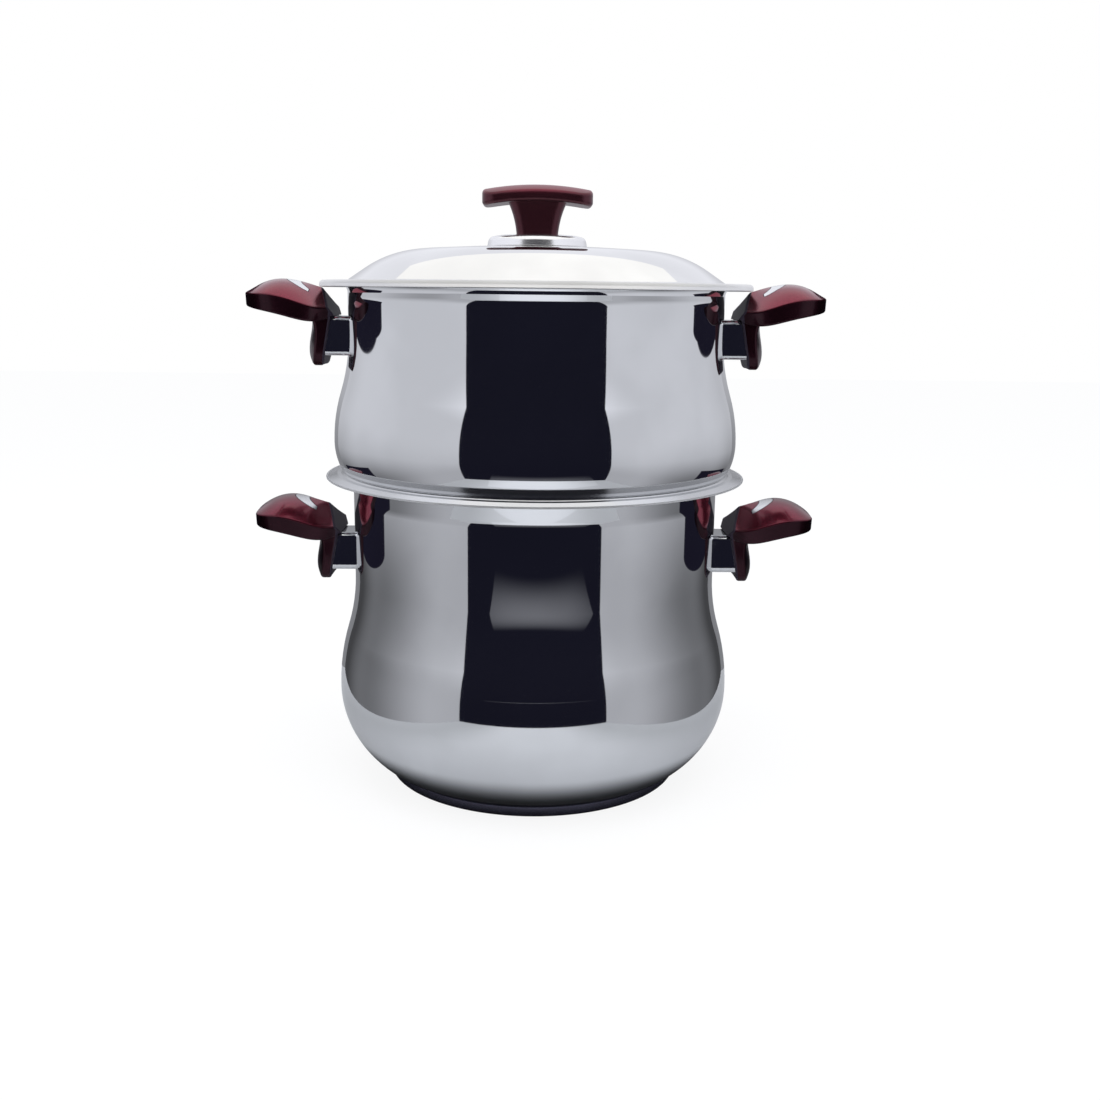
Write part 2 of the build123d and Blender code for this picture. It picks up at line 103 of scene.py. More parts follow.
def sheet_section(start, heading, moves, thickness):
    """Section of a sheet: the face that the run draws, a half-round edge, and the back face.

    The back is the face moved by the thickness along its left normal n = (-sin h, cos h), and the
    edge is p = middle + thickness / 2 * (n * cos t + along * sin t), with t from 0 to 180 degrees.
    Returns points and outward normals.
    """
    spots, heads = trace(start, heading, moves)
    keep = np.append(True, np.linalg.norm(np.diff(spots, axis=0), axis=1) > SAME_SPOT)
    spots, heads = spots[keep], heads[keep]
    normal = np.stack([-np.sin(heads), np.cos(heads)], 1)
    side = math.copysign(1, thickness)
    back = spots + thickness * normal
    middle = (spots[-1] + back[-1]) / 2
    along = np.array([math.cos(heads[-1]), math.sin(heads[-1])])
    turn = np.linspace(0, math.pi, EDGE_POINTS)[1:-1]
    round_normal = (-side * normal[-1] * np.cos(turn)[:, None] + along * np.sin(turn)[:, None])
    rounded = middle + abs(thickness) / 2 * round_normal
    points = np.concatenate([spots, rounded, back[::-1]])
    normals = np.concatenate([-side * normal, round_normal, side * normal[::-1]])
    return points, normals


print("arc step", round(math.degrees(ARC_STEP), 1), "degrees, line step", LINE_STEP * 1000, "mm")

# %% [markdown]
# A profile becomes a surface when it is turned: the point (r, z) at the angle a goes to
# (r cos a, r sin a, z). The first column of faces joins the last, so the seam is closed, and a row
# that lies on the axis is one single vertex with a fan of triangles round it.

# %% Turn a section about Z
AROUND = 256


def put_mesh(name, verts, faces, normals=None):
    """Mesh object from arrays of vertices and faces, smooth, with given vertex normals."""
    mesh = bpy.data.meshes.new(name)
    mesh.from_pydata(verts.tolist(), [], faces)
    mesh.polygons.foreach_set("use_smooth", np.ones(len(mesh.polygons), bool))
    mesh.validate()
    if normals is not None:
        mesh.normals_split_custom_set_from_vertices(normals.tolist())
    piece = bpy.data.objects.new(name, mesh)
    bpy.context.scene.collection.objects.link(piece)
    return piece


def turned_arrays(points, normals, closed=False):
    """Vertices, faces and normals of a section turned about Z.

    Row i holds the points (r_i cos a, r_i sin a, z_i) for all angles a. Faces join row i to row
    i + 1. A row with r = 0 shrinks to one vertex. A closed section joins its last row to its first.
    """
    angle = np.linspace(0, 2 * math.pi, AROUND, endpoint=False)
    ring = np.stack([np.cos(angle), np.sin(angle)], 1)
    rows, n = len(points), AROUND
    verts = np.empty((rows, n, 3))
    heads = np.empty((rows, n, 3))
    verts[..., :2] = points[:, None, :1] * ring
    verts[..., 2] = points[:, 1:2]
    heads[..., :2] = normals[:, None, :1] * ring
    heads[..., 2] = normals[:, 1:2]
    first = np.arange(rows if closed else rows - 1)[:, None] * n + np.arange(n)
    second = (first + n) % (rows * n)
    quads = np.stack([first, np.roll(first, -1, 1), np.roll(second, -1, 1), second], -1)
    on_axis = np.abs(points[:, 0]) < SAME_SPOT
    index = np.arange(rows * n).reshape(rows, n)
    index[on_axis] = index[on_axis][:, :1]
    quads = index.ravel()[quads.reshape(-1, 4)]
    return verts.reshape(-1, 3), quads, heads.reshape(-1, 3)


def tidy_faces(verts, quads, normals):
    """Drops vertices that no face uses, and turns faces with a doubled corner into triangles."""
    used, quads = np.unique(quads, return_inverse=True)
    quads = quads.reshape(-1, 4)
    flat = [list(dict.fromkeys(face)) for face in quads.tolist()]
    return verts[used], [face for face in flat if len(face) > 2], normals[used]


def turned(name, points, normals, closed=False):
    """Smooth object of a section turned about Z, its faces pointing along the given normals."""
    verts, quads, heads = turned_arrays(points, normals, closed)
    if facing(points, normals) < 0:
        quads = quads[:, ::-1]
    piece = put_mesh(name, *tidy_faces(verts, quads, heads))
    print(name, len(piece.data.polygons), "faces")
    return piece


def facing(points, normals):
    """Sign that says whether the section's left normal agrees with the given normals."""
    step = np.diff(points, axis=0)
    right = np.stack([step[:, 1], -step[:, 0]], 1)
    return np.sum(right * normals[:-1])


# %% [markdown]
# ## The sizes of the pressings
# These are the sizes of the CAD part, in metres. The small arcs are worked out so that each run stays
# tangent: the heel goes into the belly, the belly into the shoulder, and the shoulder into the neck.

# %% Sizes shared by the pans and the lid
SHEET = 0.0009
GAP = 0.0004
BASE_RADIUS, BASE_HEIGHT, BASE_SKIN, BASE_CORNER = 0.0981, 0.007, 0.0008, 0.002
NECK = 0.1197
POT_HEIGHT = 0.205
POT_SWELL, POT_RISE, POT_HEEL = 0.0112, 0.054, 0.008
RIM_BEND, RIM_SLOPE, RIM_REACH = 0.0053, 12.0, 0.0174
STEP = 0.0013
STEAMER_NECK = NECK + STEP
SEAT_Z = POT_HEIGHT + GAP
STEAMER_HEIGHT = 0.1197
STEAMER_SWELL, STEAMER_RISE, STEAMER_HEEL = 0.0104, 0.0196, 0.0016
STEAMER_TOP = SEAT_Z + STEAMER_HEIGHT
SEAT_BEND = RIM_BEND + SHEET + GAP
SEAT_FLAT = 0.0003
SKIRT, SKIRT_CORNER = 0.006, 0.004
SKIRT_RADIUS = NECK - SHEET - GAP
STEAMER_BOTTOM = SEAT_Z - SEAT_BEND - SKIRT - SKIRT_CORNER
LID_RING_Z = STEAMER_TOP + GAP + SHEET
POT_STEM_Z, STEAMER_STEM_Z = POT_HEIGHT - 0.0543, STEAMER_TOP - 0.0336


def belly(gap, rise, bend):
    """Bend and low arc from a flat bottom up to the widest ring, which stands out by the gap."""
    climb = rise - bend
    low_arc = (gap * gap + climb * climb - bend * bend) / (2 * (gap - bend))
    low_turn = math.degrees(math.asin(climb / (low_arc - bend)))
    return [(bend, 90 - low_turn), (low_arc, low_turn)]


def shoulder(swell, high_arc, neck_arc):
    """Inward arc, the arc back into the upright neck, and how far the two climb."""
    turn = math.degrees(math.acos(1 - swell / (high_arc + neck_arc)))
    return [(high_arc, turn), (neck_arc, -turn)], (high_arc + neck_arc) * math.sin(math.radians(turn))


def rim(reach):
    """The neck turned outwards and sloping down to its edge, less half a sheet for the round edge."""
    slope = math.radians(RIM_SLOPE)
    flat = (reach - RIM_BEND * (1 + math.sin(slope))) / math.cos(slope)
    return [(RIM_BEND, -90 - RIM_SLOPE), (flat - SHEET / 2,)]


print("steamer bottom at", round(STEAMER_BOTTOM * 1000, 1), "mm")
print("lid ring at", round(LID_RING_Z * 1000, 1), "mm")

# %% [markdown]
# ## Lower pot
# The pot is drawn from a disc of steel: a flat bottom, a heel, a bellied wall, a straight neck, and a
# rim that is turned out and slopes down. Under it sits the capsule base, an aluminium core wrapped
# in a steel cap. Only the cap shows.

# %% Make the lower pot and its base cap
shoulders, climb = shoulder(POT_SWELL, 0.135, 0.121)
pot_flat = BASE_RADIUS - BASE_SKIN
pot_neck = POT_HEIGHT - SHEET - RIM_BEND - BASE_HEIGHT - POT_RISE - climb
pot_moves = [(pot_flat,), *belly(NECK + POT_SWELL - pot_flat, POT_RISE, POT_HEEL), *shoulders,
             (pot_neck,), *rim(RIM_REACH)]
pot = turned("pot_shell", *sheet_section((0, BASE_HEIGHT), 0, pot_moves, SHEET))
cap_moves = [(BASE_RADIUS - BASE_CORNER,), (BASE_CORNER, 90),
             (BASE_HEIGHT - BASE_CORNER - BASE_SKIN / 2,)]
base_cap = turned("base_shell", *sheet_section((0, 0), 0, cap_moves, BASE_SKIN))

# %% [markdown]
# ## Steamer pan
# Its wall is made like the pot's, but it starts with a short skirt that drops into the pot's mouth and
# a bend that sits over the pot's rim. The bottom is pierced with rings of steam holes. A grid can't
# hold round holes, so the flat middle is cut by a Delaunay triangulation of circles, once for each
# face of the sheet, and each hole gets a small wall.

# %% Make the steamer's wall
steam_shoulders, climb = shoulder(STEAMER_SWELL, 0.105, 0.120)
steam_neck = STEAMER_HEIGHT - SHEET - RIM_BEND - STEAMER_RISE - climb
seat_gap = STEAMER_NECK + STEAMER_SWELL - (NECK + RIM_BEND + SEAT_FLAT)
plate_radius = SKIRT_RADIUS - SKIRT_CORNER
wall_moves = [(SKIRT_CORNER, 90), (SKIRT,), (SEAT_BEND, -90), (SEAT_FLAT,),
              *belly(seat_gap, STEAMER_RISE, STEAMER_HEEL), *steam_shoulders, (steam_neck,),
              *rim(RIM_REACH - STEP)]
wall_points, wall_normals = sheet_section((plate_radius, STEAMER_BOTTOM), 0, wall_moves, SHEET)
wall_verts, wall_quads, wall_heads = turned_arrays(wall_points, wall_normals)
if facing(wall_points, wall_normals) < 0:
    wall_quads = wall_quads[:, ::-1]
print("steamer wall", len(wall_quads), "faces")

# %% Pierce the steamer's bottom
HOLE, HOLE_PITCH, HOLE_MARGIN, HOLE_SIDES = 0.003, 0.017, 0.006, 20
rings = range(1, int((plate_radius - HOLE_MARGIN - HOLE) / HOLE_PITCH) + 1)
centres = [np.zeros((1, 2))]
for ring in rings:
    turn = np.arange(6 * ring) * 2 * math.pi / (6 * ring)
    centres.append(ring * HOLE_PITCH * np.stack([np.cos(turn), np.sin(turn)], 1))
centres = np.concatenate(centres)


def circle(radius, sides):
    """Points of a circle: radius * (cos a, sin a) for evenly spaced angles a."""
    turn = np.arange(sides) * 2 * math.pi / sides
    return radius * np.stack([np.cos(turn), np.sin(turn)], 1)


outline = circle(plate_radius, AROUND)
hole_points = (centres[:, None, :] + circle(HOLE, HOLE_SIDES)).reshape(-1, 2)
flat_points = np.concatenate([outline, hole_points])
start = AROUND + np.arange(len(centres))[:, None] * HOLE_SIDES
hole_loops = start + np.arange(HOLE_SIDES)
hole_edges = np.stack([hole_loops, np.roll(hole_loops, -1, 1)], -1).reshape(-1, 2)
outer = np.arange(AROUND)
outer_edges = np.stack([outer, np.roll(outer, -1)], 1)
cut = delaunay_2d_cdt([Vector(p) for p in flat_points.tolist()],
                      np.concatenate([outer_edges, hole_edges]).tolist(), [], 1, SAME_SPOT)
plate_2d = np.array([tuple(p) for p in cut[0]])
plate_faces = np.array([list(face) for face in cut[2]])
middles = plate_2d[plate_faces].mean(1)
nearest = np.linalg.norm(middles[:, None] - centres[None], axis=2).min(1)
plate_faces = plate_faces[nearest > HOLE * 0.99]
print("pierced plate:", len(centres), "holes,", len(plate_faces), "triangles on each face")

# %% Join the wall, the plate's two faces and the walls of the holes
lower = np.column_stack([plate_2d, np.full(len(plate_2d), STEAMER_BOTTOM)])
upper = np.column_stack([plate_2d, np.full(len(plate_2d), STEAMER_BOTTOM + SHEET)])
spin = np.cross(plate_2d[plate_faces[:, 1]] - plate_2d[plate_faces[:, 0]],
                plate_2d[plate_faces[:, 2]] - plate_2d[plate_faces[:, 0]])
plate_faces[spin < 0] = plate_faces[spin < 0][:, ::-1]
rows = [wall_verts, lower, upper]
heads = [wall_heads, np.tile([0, 0, -1.0], (len(lower), 1)), np.tile([0, 0, 1.0], (len(upper), 1))]
at_lower, at_upper = len(wall_verts), len(wall_verts) + len(lower)
faces = wall_quads.tolist() + (plate_faces[:, ::-1] + at_lower).tolist()
faces += (plate_faces + at_upper).tolist()
inward = -np.tile(circle(1, HOLE_SIDES), (len(centres), 1))
walls = [np.column_stack([hole_points, np.full(len(hole_points), z)])
         for z in (STEAMER_BOTTOM, STEAMER_BOTTOM + SHEET)]
rows += walls
heads += [np.column_stack([inward, np.zeros(len(inward))])] * 2
low = at_upper + len(upper) + hole_loops - AROUND
high = low + len(hole_points)
hole_quads = np.stack([low, high, np.roll(high, -1, 1), np.roll(low, -1, 1)], -1).reshape(-1, 4)
faces += hole_quads.tolist()
steamer = put_mesh("steamer_shell", np.concatenate(rows), faces, np.concatenate(heads))
print("steamer_shell", len(steamer.data.polygons), "faces")

# %% [markdown]
# ## Lid and rosette
# The lid is a shallow crown, a sloping band and a flat ring that lies on the steamer's rim, with its
# edge turned down over it. The rosette is a small polished dish between the lid and the knob. Both
# have a hole in the middle, so their sections are closed loops that never reach the axis.

# %% Make the lid
CROWN_TURN, LID_SLOPE, LID_SHOULDER, LID_FOOT, LID_HOLE = 4, 34, 0.070, 0.003, 0.0034
LID_CROWN_WIDTH, LID_RING_INSET, LID_PLAY = 0.0472, 0.0014, 0.0005
LID_EDGE_BEND, LID_EDGE_DROP = 0.0025, 0.0016
slope, crown_turn = math.radians(LID_SLOPE), math.radians(CROWN_TURN)
crown_arc = (STEAMER_NECK + LID_RING_INSET - LID_CROWN_WIDTH) / math.sin(crown_turn)
shoulder_width = LID_SHOULDER * (math.sin(slope) - math.sin(crown_turn))
band = (LID_CROWN_WIDTH - shoulder_width - LID_FOOT * math.sin(slope)) / math.cos(slope)
drop = (crown_arc * (1 - math.cos(crown_turn)) + LID_SHOULDER * (math.cos(crown_turn) - math.cos(slope))
        + band * math.sin(slope) + LID_FOOT * (1 - math.cos(slope)))
lid_top = LID_RING_Z + drop
ring_width = NECK + RIM_REACH + LID_PLAY + SHEET - LID_EDGE_BEND - STEAMER_NECK - LID_RING_INSET
hole_turn = math.degrees(LID_HOLE / crown_arc)
lid_start = (crown_arc * math.sin(math.radians(hole_turn)),
             lid_top - crown_arc * (1 - math.cos(math.radians(hole_turn))))
lid_moves = [(crown_arc, hole_turn - CROWN_TURN), (LID_SHOULDER, CROWN_TURN - LID_SLOPE), (band,),
             (LID_FOOT, LID_SLOPE), (ring_width,), (LID_EDGE_BEND, -90), (LID_EDGE_DROP - SHEET / 2,)]
lid = turned("lid_skin", *sheet_section(lid_start, -hole_turn, lid_moves, -SHEET), closed=True)
print("lid top", round(lid_top * 1000, 2), "mm")

# %% Make the rosette
ROSETTE_RADIUS, ROSETTE_HOLE, ROSETTE_RISE, ROSETTE_SHEET = 0.021, 0.0068, 0.0069, 0.0008
BROW_ARC, BROW_TURN, ROSETTE_BEND, ROSETTE_STEEP = 0.030, 15, 0.0036, 78


def crown_fall(radius):
    """How far the crown has fallen at a radius: R - sqrt(R^2 - r^2)."""
    return crown_arc - math.sqrt(crown_arc ** 2 - radius ** 2)


brow, steep = math.radians(BROW_TURN), math.radians(ROSETTE_STEEP)
bend_drop = BROW_ARC * (1 - math.cos(brow)) + ROSETTE_BEND * (math.cos(brow) - math.cos(steep))
fall = ROSETTE_RISE + crown_fall(ROSETTE_RADIUS + BROW_ARC * math.sin(brow)) - bend_drop
skirt = (fall - ROSETTE_SHEET * math.cos(steep)) / math.sin(steep)
rosette_moves = [(ROSETTE_RADIUS - ROSETTE_HOLE,), (BROW_ARC, -BROW_TURN),
                 (ROSETTE_BEND, BROW_TURN - ROSETTE_STEEP), (skirt - ROSETTE_SHEET / 2,)]
rosette = turned("rosette_skin", *sheet_section((ROSETTE_HOLE, lid_top + ROSETTE_RISE), 0,
                                                rosette_moves, -ROSETTE_SHEET), closed=True)

# %% [markdown]
# Each new skin stands for a CAD node and rides on that node's body, so it lifts with the steamer or
# the lid. Its finish is put on further down, in a list of skins and finishes.

# %% Seat the skins on their bodies
for skin, node, body, slot in ((pot, "pot_body", "pot", "pan_steel"),
                               (base_cap, "pot_base_cap", "pot", "base_steel"),
                               (steamer, "steamer_body", "steamer", "pan_steel"),
                               (lid, "lid_shell", "lid", "lid_steel"),
                               (rosette, "lid_rosette", "lid", "rosette_steel")):
    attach(skin, body)
    low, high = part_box(node)
    mine = np.array([v.co for v in skin.data.vertices])
    off = max(abs(mine.min(0) - np.array(low)).max(), abs(mine.max(0) - np.array(high)).max())
    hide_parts(node)
    print(skin.name, "stands for", node, "and differs from its box by", round(off * 1000, 2), "mm")

# %% [markdown]
# ## A small language for shader maths
# A wrapped socket can be added, multiplied and compared like a number, and each sign adds one Math
# node. Every node comes from one function, which sets the node's own settings first and then feeds
# its sockets with values or links.

# %% Sockets that can be reckoned with
class Signal:
    """A number that changes over a surface, with the signs of arithmetic."""

    def __init__(self, tree, socket):
        self.tree, self.socket = tree, socket

    def reckon(self, operation, *terms):
        """One Math node with the operation over the terms."""
        return add_node(self.tree, "ShaderNodeMath", {"operation": operation}, dict(enumerate(terms)))

    def __add__(self, other):
        return self.reckon("ADD", self, other)

    def __radd__(self, other):
        return self.reckon("ADD", other, self)

    def __sub__(self, other):
        return self.reckon("SUBTRACT", self, other)

    def __rsub__(self, other):
        return self.reckon("SUBTRACT", other, self)

    def __mul__(self, other):
        return self.reckon("MULTIPLY", self, other)

    def __rmul__(self, other):
        return self.reckon("MULTIPLY", other, self)

    def at_least(self, low):
        return self.reckon("MAXIMUM", self, low)

    def at_most(self, high):
        return self.reckon("MINIMUM", self, high)

    def size(self):
        """The number without its sign."""
        return self.reckon("ABSOLUTE", self)

    def root(self):
        return self.reckon("SQRT", self)

    def step(self, low, high):
        """0 below low, 1 above high, and a smooth rise between."""
        return add_node(self.tree, "ShaderNodeMapRange", {"interpolation_type": "SMOOTHSTEP"},
                        {"Value": self, "From Min": low, "From Max": high})


def add_node(tree, kind, settings, sockets, output=0):
    """One node: its settings first, then values or links for its sockets. Returns an output."""
    node = tree.nodes.new(kind)
    for key, value in settings.items():
        setattr(node, key, value)
    for key, value in sockets.items():
        if isinstance(value, Signal):
            tree.links.new(value.socket, node.inputs[key])
        else:
            node.inputs[key].default_value = value
    return Signal(tree, node.outputs[output])


print("a socket now knows + - * and", [name for name in vars(Signal) if not name.startswith("_")])

# %% [markdown]
# A look is the set of nodes behind a material or the world. A finish has one Principled shader, for
# the pieces of the pot. A shine has bare shaders, for the cards of the studio.

# %% Looks
class Look:
    """The nodes of a material or of the world."""

    def __init__(self, tree):
        self.tree = tree

    def node(self, kind, settings=None, sockets=None, output=0):
        return add_node(self.tree, kind, settings or {}, sockets or {}, output)

    def place(self, output="Object"):
        """Texture coordinates as a vector, and their three parts."""
        where = self.node("ShaderNodeTexCoord", output=output)
        apart = self.node("ShaderNodeSeparateXYZ", sockets={"Vector": where}).socket.node
        return where, *(Signal(self.tree, apart.outputs[axis]) for axis in range(3))

    def noise(self, where, scale, detail, **settings):
        return self.node("ShaderNodeTexNoise", settings,
                         {"Vector": where, "Scale": scale, "Detail": detail})

    def rays(self):
        """Whether a ray comes straight from the camera, and whether from a glossy surface."""
        return (self.node("ShaderNodeLightPath", output="Is Camera Ray"),
                self.node("ShaderNodeLightPath", output="Is Glossy Ray"))

    def blend(self, share, one, other):
        """Mixes two colours by a share."""
        return self.node("ShaderNodeMix", {"data_type": "RGBA"}, {0: share, 6: one, 7: other}, output=2)

    def mix(self, share, one, other):
        """Mixes two shaders by a share."""
        return self.node("ShaderNodeMixShader", sockets={0: share, 1: one, 2: other})


class Finish(Look):
    """A material with one Principled shader, whose constant values sit on its own sockets."""

    def __init__(self, name, **constants):
        self.material = bpy.data.materials.new(name)
        self.material.use_nodes = True
        super().__init__(self.material.node_tree)
        self.shader = self.tree.nodes["Principled BSDF"]
        for key, value in constants.items():
            self.shader.inputs[key.replace("_", " ").title().replace("Ior", "IOR")].default_value = value

    def feed(self, name, signal):
        self.tree.links.new(signal.socket, self.shader.inputs[name])

    def relief(self, height, strength, distance):
        """Lets a height, in units of the distance, tilt the normal."""
        self.feed("Normal", self.node("ShaderNodeBump", sockets={
            "Strength": strength, "Distance": distance, "Height": height}))


class Shine(Look):
    """A material of bare shaders."""

    def __init__(self, name):
        self.material = bpy.data.materials.new(name)
        self.material.use_nodes = True
        super().__init__(self.material.node_tree)
        self.tree.nodes.clear()

    def show(self, shader):
        """Puts the shader on the surface and returns the material."""
        out = self.tree.nodes.new("ShaderNodeOutputMaterial")
        self.tree.links.new(shader.socket, out.inputs["Surface"])
        return self.material


print("kinds of look:", [kind.__name__ for kind in Look.__subclasses__()])

# %% [markdown]
# ## Small shapes that live in the normal
# A pressed rim isn't a flat cone. It is slightly domed, with a fine band round it, and the last
# centimetre of the neck leans outwards before it turns over. These shapes are far below a millimetre
# high. A mirror shows them clearly and an outline hardly does, so they are the height of a Bump node,
# in true metres, and the mesh keeps the sizes of the CAD.

# %% Relief of rims, necks and the lid's edge
RIM_FALL, BAND_START, BAND_WIDTH, BAND_RISE = 0.85, 0.0030, 0.0024, 0.7
RIM_ABOVE_NECK, RIM_SATIN = (0.003, 0.004), 0.22
FLARE_CURVE, BEYOND_SKIRT = 0.004, (0.118, 0.1185)
EDGE_LEAN, EDGE_FROM = 0.8, (0.1355, 0.1362)


def pan_relief(rim_radius, neck_top, reach, slope):
    """Height of a pan's rim and neck, and what they add to the roughness, at a radius and z.

    From rim_radius outwards the height falls by 0.85 of the way, but over a band of 2.4 mm by only
    0.15 of it. In the last reach of the neck, u is the climb into it and v is u up to 4 mm, and
    the height is slope * (v^2 / 8 mm + u - v): a curve that goes over into a straight line.
    """
    def relief(radius, z):
        out = (radius - rim_radius).at_least(0.0)
        band = (radius - (rim_radius + BAND_START)).at_least(0.0).at_most(BAND_WIDTH)
        above = z.step(*(neck_top + rise for rise in RIM_ABOVE_NECK))
        dome = (out * -RIM_FALL + band * BAND_RISE) * above
        climb = (z - (neck_top - reach)).at_least(0.0).at_most(reach)
        curved = climb.at_most(FLARE_CURVE)
        flare = (curved * curved * (0.5 / FLARE_CURVE) + (climb - curved)) * slope
        satin = radius.step(rim_radius, rim_radius + 0.0005) * z.step(neck_top, neck_top + 0.003)
        return dome + flare * radius.step(*BEYOND_SKIRT), satin * RIM_SATIN
    return relief


def edge_relief(edge_z):
    """Height of the lid's turned-down edge: it falls by 0.8 of the climb, so the edge leans up."""
    def relief(radius, z):
        return (z - edge_z) * radius.step(*EDGE_FROM) * -EDGE_LEAN, 0.0
    return relief


print("the rim's band is", BAND_WIDTH * 1000, "mm wide")

# %% [markdown]
# ## Polished steel
# The steel is polished on a lathe, so what is left of the wheel's marks runs round the pan. They are
# too fine to see one by one, but they change the roughness a little from ring to ring. The sheet is
# also never quite true: a very low swell in the surface makes straight reflections waver.

# %% Steel finishes
RINGS_PER_METRE = 900
CUT_EDGE, CUT_SATIN = (0.1358, 0.1366), 0.36
NECK_TOP_UNDER_RIM = SHEET + RIM_BEND
PAN_TONE = (0.72, 0.73, 0.745)


def polished_steel(name, tone, roughness, waver, relief=None):
    """Mirror steel: rings of faint polish in the roughness, and a slow waver in the normal.

    Cut edges, beyond 136 mm from the axis, are left satin. A relief adds its height and roughness.
    """
    steel = Finish(name, metallic=1.0)
    where, x, y, z = steel.place()
    radius = (x * x + y * y).root()
    rings = steel.node("ShaderNodeCombineXYZ", sockets={"X": radius * RINGS_PER_METRE,
                                                        "Y": z * RINGS_PER_METRE})
    marks = steel.noise(rings, 1.0, 2.0, noise_dimensions="2D")
    smears = steel.noise(where, 14.0, 3.0)
    polish = roughness * (0.55 + 0.5 * marks + 0.5 * smears)
    height = steel.noise(where, 9.0, 1.0) * waver
    if relief:
        shape, satin = relief(radius, z)
        height, polish = height + shape, polish + satin
    steel.feed("Roughness", polish + radius.step(*CUT_EDGE) * (CUT_SATIN - roughness))
    dark, light = (*(c * 0.95 for c in tone), 1), (*(min(1.0, c * 1.04) for c in tone), 1)
    steel.feed("Base Color", steel.blend(smears.step(0.35, 0.65), dark, light))
    steel.relief(height, 1.0, 1.0)
    return steel.material


steel_pan = polished_steel("pan_mirror", PAN_TONE, 0.035, 0.00012, pan_relief(
    rim_radius=0.1246, neck_top=POT_HEIGHT - NECK_TOP_UNDER_RIM, reach=0.012, slope=0.26))
steel_steamer = polished_steel("steamer_mirror", PAN_TONE, 0.035, 0.00012, pan_relief(
    rim_radius=0.1256, neck_top=STEAMER_TOP - NECK_TOP_UNDER_RIM, reach=0.0065, slope=0.52))
steel_lid = polished_steel("lid_mirror", (0.80, 0.80, 0.80), 0.045, 0.00006, edge_relief(LID_RING_Z))
steel_small = polished_steel("small_mirror", (0.74, 0.75, 0.77), 0.05, 0.00002)
steel_dish = polished_steel("rosette_mirror", (0.82, 0.82, 0.83), 0.19, 0.00002)
# Painted shade: the base cap is toned dark and bluish, darker than the pans, for the shade at the pot's
# foot.
shaded_base_steel = polished_steel("base_satin_painted_shade", (0.30, 0.29, 0.40), 0.22, 0.00004)
print("steel finishes:", steel_pan.name, steel_lid.name, steel_small.name, shaded_base_steel.name)

# %% [markdown]
# ## Burgundy lacquer
# Grips and knob are moulded in black resin and lacquered in a metallic burgundy. Tiny flakes in the
# lacquer spread the highlight, and a clear coat puts a sharper one on top. Low on the grip, below its
# crease, and down the knob's stem, the red is painted darker into a deep plum: painted shade, for the
# faces that turn away from the light.

# %% Lacquer and the knob
RED, RED_FLAKE = (0.15, 0.014, 0.032, 1), (0.24, 0.028, 0.055, 1)
# Painted shade: the plum is the shaded copy of the red lacquer, for faces that turn from the light.
SHADE_PLUM, SHADE_PLUM_FLAKE = (0.028, 0.007, 0.013, 1), (0.050, 0.012, 0.020, 1)
KNOB_HEIGHT = 0.0314


def lacquer(name, coat_roughness):
    """Metallic lacquer with flakes, as its finish, a bright red, a plum that paints its shade, and the
    place.
    """
    coat = Finish(name, metallic=0.95, coat_weight=0.5, coat_roughness=coat_roughness,
                  specular_ior_level=0.3)
    where, x, y, z = coat.place()
    flakes = coat.noise(where, 2600.0, 1.0)
    coat.relief(flakes, 0.25, 0.00003)
    red = coat.blend(flakes.step(0.35, 0.7), RED, RED_FLAKE)
    plum_shade = coat.blend(flakes.step(0.45, 0.8), SHADE_PLUM, SHADE_PLUM_FLAKE)
    return coat, red, plum_shade, x, y, z


def knob_finish(name, top_z):
    """Red on the bar, and down the stem, which starts 7.5 mm under the top, the plum as painted shade."""
    coat, red, plum_shade, _, _, z = lacquer(name, 0.35)
    # Painted shade: under the bar, down the stem, the colour turns to the shaded plum.
    bar = (z - top_z).step(-0.0075, -0.0035)
    coat.feed("Base Color", coat.blend(0.22 + 0.70 * bar, plum_shade, red))
    coat.feed("Roughness", 0.44 + 0.06 * bar)
    return coat.material


knob_look = knob_finish("knob_burgundy", lid_top + ROSETTE_RISE + KNOB_HEIGHT)
print("knob lacquer:", knob_look.name)

# %% [markdown]
# The spray doesn't reach the grip's face that leans towards the pan, so the resin stays dark there. A
# thin black line also runs round the chrome crescent, where the inlay sits in its pocket. Both are
# masks worked out from the sizes of the grip, so they follow its edges without any painting.

# %% Lacquer of the grips
RESIN = (0.034, 0.024, 0.042, 1)
FACE_OUT, FACE_UP, FACE_LEAN = 0.0078, 0.0128, math.tan(math.radians(28))
WEB_OUT, WEB_LEAN = 0.0124, math.tan(math.radians(10.7))
LIP = (0.0011, 0.0014)
CREASE_FOOT, CREASE_RISE, CREASE_RUN = 0.0182, 0.0080, (0.014, 0.052)
OUTER_ARC, INNER_ARC, LINE_FROM = (0.02663, 0.01317), (0.02036, 0.01064), (0.0237, 0.0242)


def groove(out, y):
    """Black line round the crescent: half a millimetre outside its two arcs.

    Both arcs are circles about points on the handle's middle line, (out - c)^2 + y^2 = r^2, the
    outer one with c = 26.6 mm and r = 13.2 mm, the inner one with c = 20.4 mm and r = 10.6 mm.
    """
    def line(centre, radius, side):
        beyond = side * (((out - centre) * (out - centre) + y * y).root() - radius)
        return beyond.step(-0.0003, 0.0) * (1 - beyond.step(0.00045, 0.00065))
    return (line(*OUTER_ARC, 1) + line(*INNER_ARC, -1)) * out.step(*LINE_FROM)


